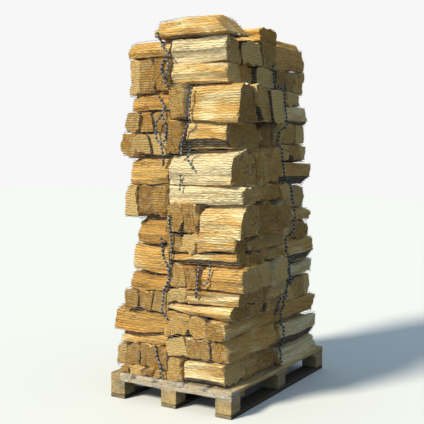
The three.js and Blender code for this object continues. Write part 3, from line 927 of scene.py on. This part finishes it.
def courseLogs(name, plan, thickness, bottom, top, lies, seed, warmer):
    x0, x1, y0, y1 = plan
    kinds = [(lie, int(digit)) for lie, digit in re.findall(r"(along|across)(\d)", lies)]
    parts = []
    split = mix(x0, x1, logShape["splitShare"][0] + logShape["splitShare"][1] * kinds[0][1])
    for k, (lie, count) in enumerate(kinds):
        start = split if k == 1 else x0
        stop = split if k == 0 and len(kinds) == 2 else x1
        sides = (start, stop) if lie == "along" else (y0, y1)
        reach = (-y1, -y0) if lie == "along" else (start, stop)
        lowWalls, highWalls = wallsOf(count, seed)
        for i in range(count):
            n = seed + logShape["kindStep"] * k + i * logShape["logStep"]
            outward = facing(name, lie, i, count)
            cell = {
                "ends": drawIn(*reach, logShape["endSetBack"] * chance(n + draw["endBack"])),
                "low": wallAt(sides, lowWalls, i, outward, chance(n + draw["lowBack"])),
                "high": wallAt(sides, highWalls, i, outward, chance(n + draw["highBack"])),
                "bottom": bottom, "top": top, "thickness": thickness, "endLean": 0, "warmer": warmer,
            }
            parts.append(makeLog(cell, lie, outward, n))
    return parts


def makeLogs():
    allVerts = []
    for name, column in courses.items():
        heights = stack["bottom"] + np.cumsum([course[0] for course in column])
        last = len(column) - 1
        beds = [bed(name, stack["bottom"], -1, last)]
        beds += [bed(name, height, i, last) for i, height in enumerate(heights)]
        for i in range(0, len(column), stack["inTier"]):
            parts = []
            for k, (thickness, lies, reach) in enumerate(column[i:i + stack["inTier"]], i):
                plan = columnPlan(name, heights[k] - thickness / 2, reach)
                seed = stack["seeds"][name] + k * logShape["courseStep"]
                warmer = mix(*stack["warmer"][name], shareUp(heights[k]))
                parts += courseLogs(name, plan, thickness, beds[k], beds[k + 1], lies, seed, warmer)
            number = i // stack["inTier"] + 1
            piece, verts = gather(f"split_logs_{name}_{number}", parts, woodMaterials)
            finishWood(piece, f"logs_{name}_tier_{number}", "split_wood")
            allVerts.append(verts)
    for node, (lie, endLean, seed) in crown.items():
        low, high = (np.array(corner) * 1000 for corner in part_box(node))
        sides = (low[0], high[0]) if lie == "along" else (low[1], high[1])
        cell = {
            "ends": (-high[1], -low[1]) if lie == "along" else (low[0], high[0]),
            "endLean": endLean, "low": sides, "high": sides, "thickness": high[2] - low[2],
            "warmer": stack["crownWarmer"],
            "bottom": lambda x, y, z=low[2]: z + 0 * x, "top": lambda x, y, z=high[2]: z + 0 * x,
        }
        part = makeLog(cell, lie, -1, seed)
        piece, verts = gather(node.replace("log_top", "split_log_top"), [part], woodMaterials)
        finishWood(piece, node, "split_wood")
        allVerts.append(verts)
    return allVerts


def finishWood(piece, node, slot):
    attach(piece, "root")
    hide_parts(node)


logVerts = makeLogs()
print("logs made:", sum(len(verts) for verts in logVerts), "points")


boardDetail = {
    "step": 0.009,
    "round": 0.0022,
    "rings": {"block": 9, "board": 34},
    "rough": {"tear": 0.0012, "fibre": 0.0006, "bark": 0.0, "chip": 0.0015},
    "warp": 0.0015,
    "endProud": 0.3,  # of what a log's end stands out
    "longer": 1.5,  # a piece this many times as long in x as in y has its grain along x
    "pithAcross": (0.2, 0.6), "pithBelow": (0.03, 0.05),  # where the tree's middle was, and its spread
    "runnerTone": 2.0, "runnerEndTone": 1.15,  # the runners carry painted shade, as under the deck, and their sawn ends, which face out into the light, carry less of it
    "grainSpread": 2.9,
    "seedStep": 13, "seedStart": 5,
    "draw": {"warp": 0.4, "pith": 0.5, "tone": 0.7, "grain": 3.1},
}


def boardOutline(wide, high):
    r = boardDetail["round"]
    points = [(r, 0), (wide - r, 0), (wide, r), (wide, high - r)]
    points += [(wide - r, high), (r, high), (0, high - r), (0, r)]
    unit = [(x / wide, y / high) for x, y in points]
    return denseOutline(unit, [], wide, high, boardDetail["step"])


def makeBoard(node, number):
    low, high = (np.array(corner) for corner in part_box(node))
    size = high - low
    d, draws = boardDetail, boardDetail["draw"]
    alongX = size[0] > size[1] * d["longer"]
    wide = size[1] if alongX else size[0]
    outline, barky = boardOutline(wide, size[2])
    along = (low[0], high[0]) if alongX else (-high[1], -low[1])
    warp = d["warp"] * (chance(number + draws["warp"]) - 0.5)

    def place(t, local, proud):
        run = mix(along[0], along[1], t) + proud * d["endProud"] + 0 * local[:, 0]
        up = np.maximum(low[2] + local[:, 1] + warp * math.sin(math.pi * t), 0)
        if alongX:
            return np.column_stack([run, low[1] + local[:, 0], up])
        return np.column_stack([low[0] + local[:, 0], -run, up])

    rings = d["rings"]["block" if "block" in node else "board"]
    (across, acrossSpread), (below, belowSpread) = d["pithAcross"], d["pithBelow"]
    pith = np.array((wide * (across + acrossSpread * chance(number)),
                     -below - belowSpread * chance(number + draws["pith"])))
    tone = d["runnerTone"] if "runner" in node else chance(number + draws["tone"])
    seed = number * d["seedStep"] + d["seedStart"]
    part = sweptWood(outline, barky, pith, along, place, rings, d["rough"], seed, tone)
    part["place"] = part["place"] + (d["grainSpread"] * chance(number + draws["grain"]), 0, 0)
    part["kinds"] = [0] * len(part["kinds"])  # a board has one material
    if "runner" in node:
        part["tone"][rings * len(outline):] = d["runnerEndTone"]
    piece, _ = gather(node.replace("pallet_", "pallet_wood_"), [part], [palletWood])
    finishWood(piece, node, "pallet_block" if "block" in node or "runner" in node else "pallet_board")


palletNodes = sorted(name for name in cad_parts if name.startswith("pallet_"))
for number, node in enumerate(palletNodes):
    makeBoard(node, number + 1)
print("pallet made:", len(palletNodes), "boards and blocks")


def geometryTree(name, inputs):
    # an empty node tree with a geometry in and out and these named numbers
    tree = bpy.data.node_groups.new(name, "GeometryNodeTree")
    tree.interface.new_socket("Geometry", in_out="INPUT", socket_type="NodeSocketGeometry")
    for label, (kind, value) in inputs.items():
        socket = tree.interface.new_socket(label, in_out="INPUT", socket_type=kind)
        if value is not None:
            socket.default_value = value
    tree.interface.new_socket("Geometry", in_out="OUTPUT", socket_type="NodeSocketGeometry")
    start = tree.nodes.new("NodeGroupInput")
    end = tree.nodes.new("NodeGroupOutput")
    return tree, start, end


def joinSockets(tree, pairs):
    for out, into in pairs:
        tree.links.new(out, into)


def endTree(tree, start, geometry, end):
    # each tree ends by making its copies real and painting them
    real = tree.nodes.new("GeometryNodeRealizeInstances")
    paint = tree.nodes.new("GeometryNodeSetMaterial")
    joinSockets(tree, (
        (geometry, real.inputs[0]),
        (real.outputs[0], paint.inputs["Geometry"]),
        (start.outputs["Material"], paint.inputs["Material"]),
        (paint.outputs[0], end.inputs[0]),
    ))
    return tree


def runTree(tree, source, values, name):
    # runs the tree on the source object and gives back a plain mesh object
    modifier = source.modifiers.new("nodes", "NODES")
    modifier.node_group = tree
    for item in tree.interface.items_tree:
        if item.in_out == "INPUT" and item.name in values:
            modifier[item.identifier] = values[item.name]
    bpy.context.view_layer.update()
    seen = source.evaluated_get(bpy.context.evaluated_depsgraph_get())
    mesh = bpy.data.meshes.new_from_object(seen)
    mesh.name = name
    source.modifiers.remove(modifier)
    bpy.data.objects.remove(source)
    piece = bpy.data.objects.new(name, mesh)
    scene.collection.objects.link(piece)
    return piece


def pathObject(name, paths):
    # a mesh of bare edges: each path is (points, closed)
    verts, edges = [], []
    for points, closed in paths:
        base, count = len(verts), len(points)
        verts += [tuple(p) for p in points]
        edges += [(base + i, base + i + 1) for i in range(count - 1)]
        if closed:
            edges.append((base + count - 1, base))
    mesh = bpy.data.meshes.new(name)
    mesh.from_pydata(verts, edges, [])
    path = bpy.data.objects.new(name, mesh)
    scene.collection.objects.link(path)
    return path


def placeAttribute(piece):
    # materials read logPlace: here it is simply where each point is
    count = len(piece.data.vertices)
    places = np.zeros(count * 3, np.float32)
    piece.data.vertices.foreach_get("co", places)
    setAttribute(piece, "logPlace", "FLOAT_VECTOR", places)


nails = {
    "headRadius": 0.0045, "headHeight": 0.0012, "sides": 12,
    "rows": (-0.028, 0.028),  # from the middle of each stringer, along the board
    "across": (0.25, 0.75),  # where they stand across the board
    "wander": 0.012, "proud": 0.0004,
    "seedSteps": (7, 3),  # from board to board and from stringer to stringer
}


def nailTree():
    tree, start, end = geometryTree("nailHeads", {
        "Radius": ("NodeSocketFloat", nails["headRadius"]),
        "Height": ("NodeSocketFloat", nails["headHeight"]),
        "Material": ("NodeSocketMaterial", None),
    })
    points = tree.nodes.new("GeometryNodeMeshToPoints")
    head = tree.nodes.new("GeometryNodeMeshCylinder")
    head.inputs["Vertices"].default_value = nails["sides"]
    copies = tree.nodes.new("GeometryNodeInstanceOnPoints")
    joinSockets(tree, (
        (start.outputs["Geometry"], points.inputs["Mesh"]),
        (start.outputs["Radius"], head.inputs["Radius"]),
        (start.outputs["Height"], head.inputs["Depth"]),
        (points.outputs[0], copies.inputs["Points"]),
        (head.outputs["Mesh"], copies.inputs["Instance"]),
    ))
    return endTree(tree, start, copies.outputs[0], end)


def makeNails():
    spots = []
    decks = [name for name in palletNodes if "deck" in name]
    stringers = [name for name in palletNodes if "stringer" in name]
    boardStep, stringerStep = nails["seedSteps"]
    for d, deck in enumerate(decks):
        low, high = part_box(deck)
        for s, stringer in enumerate(stringers):
            a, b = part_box(stringer)
            for share in nails["across"]:
                for k, row in enumerate(nails["rows"]):
                    seed = d * boardStep + s * stringerStep + k + share
                    wander = nails["wander"] * (chance(seed) - 0.5)
                    x = mix(low.x, high.x, share) + wander
                    spots.append((x, (a.y + b.y) / 2 + row + wander, high.z + nails["proud"]))
    source = pathObject("nailSpots", [([spot], False) for spot in spots])
    piece = runTree(nailTree(), source, {"Material": nailSteel}, "deck_nails")
    placeAttribute(piece)
    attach(piece, "root")
    print("nails made:", len(spots))


makeNails()


net = {
    "low": 0.158, "high": 2.034,  # heights of the lowest and highest threads round the stack
    "crownLow": 2.035, "crownHigh": 2.128,  # and round the big log on top
    "spacing": 0.0132,
    "stand": 0.0035,  # how far the threads stand off the logs
    "reach": 0.009,  # a thread bears on the logs this far above and below it
    "directions": 240,
    "step": 0.016,
    "zigzag": 0.0028, "zigzagPitch": 0.052, "zigzagShift": 0.2,
    "slack": 0.002, "slackWave": 9, "slackLevel": 0.7, "slackSeed": 5,
    "threadRadius": 0.0012, "threadSides": 3,
    "strandRadius": 0.0036, "strandSides": 6, "strandStep": 0.012, "strandProud": 0.002,
    "knotRadius": 0.0082, "knotPitch": 0.022, "knotSides": 8, "knotRings": 5,
    "knotLeast": (0.62, 0.62, 0.75), "knotMost": (1.05, 1.05, 1.3), "knotSeed": 4,
}

# Vertical strands of the net where it is gathered, in millimetres: on the front and the back as x
# and height, on the right and the left side as y and height
strands = {
    "front": [
        [(-90, 2050), (-85, 2020), (-80, 1985), (-40, 1950), (-15, 1925)],
        [(-40, 1920), (-65, 1880), (-65, 1835), (-45, 1815)],
        [(-40, 1920), (-25, 1880), (-30, 1835), (-45, 1815), (-45, 1785), (-25, 1760)],
        [(-80, 1705), (-75, 1690), (-45, 1650), (-55, 1605)],
        [(-55, 1605), (-90, 1570), (-100, 1525), (-90, 1475), (-65, 1450), (-50, 1390), (-55, 1340)],
        [(-55, 1605), (-30, 1560), (-30, 1510), (-35, 1475), (-60, 1450)],
        [(-5, 1060), (-10, 1015), (5, 955), (0, 890), (-5, 815), (-15, 765), (-15, 715), (-40, 645),
         (-50, 575), (-50, 525), (-20, 490)],
        [(-65, 930), (-65, 870), (-55, 825), (-30, 790), (-10, 740)],
        [(-95, 325), (-90, 275), (-65, 220), (-55, 160)],
        [(125, 1745), (115, 1705), (110, 1645), (120, 1580)],
        [(125, 1565), (85, 1530), (80, 1485), (65, 1450), (60, 1390)],
        [(115, 1430), (100, 1370), (140, 1320)],
        [(60, 1280), (60, 1205)],
        [(175, 805), (170, 720), (165, 630)],
        [(240, 820), (245, 755), (230, 710), (210, 695)],
    ],
    "right": [
        [(-10, 725), (45, 635), (-15, 570), (-65, 510), (-45, 470)],
        [(-35, 1895), (-15, 1805), (-5, 1695), (40, 1570), (0, 1415), (15, 1295), (40, 1155)],
        [(40, 1155), (60, 1020), (25, 890), (5, 770), (30, 640), (20, 520), (40, 380), (20, 170)],
    ],
    "back": [
        [(-20, 2000), (15, 1850), (-10, 1700), (25, 1540), (-5, 1380), (-40, 1250), (-15, 1120)],
        [(-15, 1120), (20, 990), (0, 850), (-30, 700), (10, 560), (-15, 400), (5, 240), (-10, 165)],
        [(150, 1240), (165, 1130), (140, 1010)],
    ],
    "left": [
        [(20, 1990), (-10, 1840), (35, 1690), (10, 1530), (-20, 1400), (15, 1260)],
        [(15, 1260), (-15, 1100), (20, 960), (5, 800), (-25, 640), (10, 480), (0, 320), (15, 165)],
        [(-330, 1720), (-350, 1600), (-320, 1490)],
    ],
}


def netForm(verts, lowest, highest):
    # the taut outline at each thread's height: how far it reaches in each direction
    heights = np.arange(lowest, highest, net["spacing"])
    turns = np.arange(net["directions"]) * 2 * math.pi / net["directions"]
    ways = np.stack([np.cos(turns), np.sin(turns)], 1)
    order = np.argsort(verts[:, 2])
    verts = verts[order]
    low = np.searchsorted(verts[:, 2], heights - net["reach"])
    high = np.searchsorted(verts[:, 2], heights + net["reach"])
    reach = np.array([(verts[a:b, :2] @ ways.T).max(0) for a, b in zip(low, high)])
    smooth = reach.copy()
    smooth[1:-1] = (reach[:-2] + 6 * reach[1:-1] + reach[2:]) / 8
    return heights, turns, np.maximum(smooth, reach) + net["stand"]


def ringAt(reach, turns):
    # the closed outline whose support is reach
    step = turns[1] - turns[0]
    nextReach = np.roll(reach, -1)
    along = (nextReach - reach * math.cos(step)) / math.sin(step)
    c, s = np.cos(turns), np.sin(turns)
    return np.stack([reach * c - along * s, reach * s + along * c], 1)


def resampled(points, step):
    closed = np.vstack([points, points[:1]])
    run = np.concatenate([[0], np.cumsum(np.linalg.norm(np.diff(closed, axis=0), axis=1))])
    keep = np.concatenate([[True], np.diff(run) > 1e-6])
    closed, run = closed[keep], run[keep]
    at = np.linspace(0, run[-1], max(8, round(run[-1] / step)), endpoint=False)
    return np.stack([np.interp(at, run, closed[:, k]) for k in (0, 1)], 1), at


def makeThreads(heights, turns, reach):
    rings = []
    for level, z in enumerate(heights):
        ring, at = resampled(ringAt(reach[level], turns), net["step"])
        phase = 0.5 * (level % 2) + net["zigzagShift"] * chance(level)
        saw = 2 * np.abs((at / net["zigzagPitch"] + phase) % 1 - 0.5) - 0.5
        slack = net["slack"] * noise2(at * net["slackWave"], level * net["slackLevel"], net["slackSeed"])
        rings.append((np.column_stack([ring, z + net["zigzag"] * 2 * saw + slack]), True))
    return rings


def onNet(heights, turns, reach, face, u, z):
    # where a strand at u along this face and height z lies on the net
    level = int(np.clip(np.searchsorted(heights, z), 0, len(heights) - 1))
    ring = ringAt(reach[level], turns)
    along, out = (0, 1) if face in ("front", "back") else (1, 0)
    sign = 1 if face in ("back", "right") else -1
    near = ring[ring[:, out] * sign > 0]
    near = near[np.argsort(near[:, along])]
    proud = float(np.interp(u, near[:, along], near[:, out])) + sign * net["strandProud"]
    return (u, proud, z) if along == 0 else (proud, u, z)


def makeStrands(heights, turns, reach):
    paths = []
    for face, lines in strands.items():
        for line in lines:
            line = np.array(line, float) / 1000
            run = np.concatenate([[0], np.cumsum(np.linalg.norm(np.diff(line, axis=0), axis=1))])
            at = np.linspace(0, run[-1], max(4, round(run[-1] / net["strandStep"])))
            spots = zip(np.interp(at, run, line[:, 0]), np.interp(at, run, line[:, 1]))
            paths.append(([onNet(heights, turns, reach, face, u, z) for u, z in spots], False))
    return paths


def threadTree():
    tree, start, end = geometryTree("netThreads", {
        "Radius": ("NodeSocketFloat", net["threadRadius"]),
        "Sides": ("NodeSocketInt", net["threadSides"]),
        "Material": ("NodeSocketMaterial", None),
    })
    curve = tree.nodes.new("GeometryNodeMeshToCurve")
    profile = tree.nodes.new("GeometryNodeCurvePrimitiveCircle")
    tube = tree.nodes.new("GeometryNodeCurveToMesh")
    tube.inputs["Fill Caps"].default_value = True
    joinSockets(tree, (
        (start.outputs["Geometry"], curve.inputs["Mesh"]),
        (start.outputs["Radius"], profile.inputs["Radius"]),
        (start.outputs["Sides"], profile.inputs["Resolution"]),
        (curve.outputs[0], tube.inputs["Curve"]),
        (profile.outputs[0], tube.inputs["Profile Curve"]),
    ))
    return endTree(tree, start, tube.outputs[0], end)


def knotTree():
    # the knots of a gathered strand, strung along its path
    tree, start, end = geometryTree("netKnots", {
        "Radius": ("NodeSocketFloat", net["knotRadius"]),
        "Pitch": ("NodeSocketFloat", net["knotPitch"]),
        "Seed": ("NodeSocketInt", net["knotSeed"]),
        "Material": ("NodeSocketMaterial", None),
    })
    curve = tree.nodes.new("GeometryNodeMeshToCurve")
    spots = tree.nodes.new("GeometryNodeCurveToPoints")
    spots.mode = "LENGTH"
    knot = tree.nodes.new("GeometryNodeMeshUVSphere")
    knot.inputs["Segments"].default_value = net["knotSides"]
    knot.inputs["Rings"].default_value = net["knotRings"]
    copies = tree.nodes.new("GeometryNodeInstanceOnPoints")
    vary = tree.nodes.new("FunctionNodeRandomValue")
    vary.data_type = "FLOAT_VECTOR"
    vary.inputs["Min"].default_value = net["knotLeast"]
    vary.inputs["Max"].default_value = net["knotMost"]
    joinSockets(tree, (
        (start.outputs["Geometry"], curve.inputs["Mesh"]),
        (start.outputs["Radius"], knot.inputs["Radius"]),
        (start.outputs["Pitch"], spots.inputs["Length"]),
        (start.outputs["Seed"], vary.inputs["Seed"]),
        (curve.outputs[0], spots.inputs["Curve"]),
        (spots.outputs["Points"], copies.inputs["Points"]),
        (spots.outputs["Rotation"], copies.inputs["Rotation"]),
        (knot.outputs["Mesh"], copies.inputs["Instance"]),
        (vary.outputs["Value"], copies.inputs["Scale"]),
    ))
    return endTree(tree, start, copies.outputs[0], end)


def finishNet(piece):
    placeAttribute(piece)
    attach(piece, "root")
    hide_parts("net_sleeve")


def makeNet():
    heights, turns, reach = netForm(np.concatenate(logVerts), net["low"], net["high"])
    rings = makeThreads(heights, turns, reach)
    bigLog = logVerts[-len(crown)]
    rings += makeThreads(*netForm(bigLog, net["crownLow"], net["crownHigh"]))
    half = len(rings) // 2
    threads = threadTree()
    for name, some in (("net_threads_lower", rings[:half]), ("net_threads_upper", rings[half:])):
        finishNet(runTree(threads, pathObject(name, some), {"Material": netYarn}, name))
    paths = makeStrands(heights, turns, reach)
    core = {"Material": paleYarn, "Radius": net["strandRadius"], "Sides": net["strandSides"]}
    finishNet(runTree(threads, pathObject("strandPaths", paths), core, "net_strands"))
    finishNet(runTree(knotTree(), pathObject("knotPaths", paths), {"Material": netKnot}, "net_knots"))
    print("net made:", len(rings), "threads")


makeNet()


film = {
    "low": 0.098, "top": 0.1475, "lap": 0.020,  # over the deck
    "left": -0.33, "round": 0.085,
    "step": 0.006, "wall": 0.0006,
    "inset": 0.001,  # from the CAD strip's face
    "rows": 9, "lapRows": 4,
    "ripple": 0.0035, "rippleOut": 0.4, "rippleUp": 0.9,
    "waves": ((30, 0.45, 3), (90, 0.8, 4)),  # along the strip, from row to row, and their seed
    "edge": 0.007, "edgeWave": 14, "edgeSeed": 9,  # how far its lower edge strays
}


def makeFilm():
    # one strip: up the deck's front edge, over it, and round the near corner
    low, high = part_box("stretch_film")
    front, right = low.y + film["inset"], high.x - film["inset"]
    path = [(x, front) for x in np.arange(film["left"], right, film["step"])]
    path += [(right, y) for y in np.arange(front, front + film["round"], film["step"])]
    path = np.array(path)
    inward = np.where(path[:, :1] < right, (0.0, 1.0), (-1.0, 0.0))
    rise = np.linspace(film["low"], film["top"], film["rows"])
    lap = np.linspace(film["lap"] / film["lapRows"], film["lap"], film["lapRows"])
    rows = [(z, 0.0) for z in rise] + [(film["top"], d) for d in lap]
    run = np.arange(len(path)) * film["step"]
    verts = []
    for k, (z, d) in enumerate(rows):
        large, small = (noise2(run * long, k * row, seed) for long, row, seed in film["waves"])
        ripple = np.abs(film["ripple"] * (large + 0.5 * small))
        edge = film["edge"] * noise2(run * film["edgeWave"], 0.0, film["edgeSeed"]) if k == 0 else 0
        out = ripple * (film["rippleOut"] if d == 0 else 0)
        place = path + inward * (d - out)[:, None]
        lift = ripple * (film["rippleUp"] if d > 0 else 0)
        verts.append(np.column_stack([place, z + edge + lift]))
    verts = np.concatenate(verts)
    n = len(path)
    faces = [(r * n + i, r * n + i + 1, (r + 1) * n + i + 1, (r + 1) * n + i)
             for r in range(len(rows) - 1) for i in range(n - 1)]
    piece = newMesh("stretch_film_strip", verts.tolist(), faces, [stretchFilm], smooth=[True] * len(faces))
    thick = piece.modifiers.new("wall", "SOLIDIFY")
    thick.thickness = film["wall"]
    seen = piece.evaluated_get(bpy.context.evaluated_depsgraph_get())
    mesh = bpy.data.meshes.new_from_object(seen)
    piece.modifiers.remove(thick)
    piece.data = mesh
    placeAttribute(piece)
    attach(piece, "root")
    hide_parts("stretch_film")


makeFilm()
print("film made")
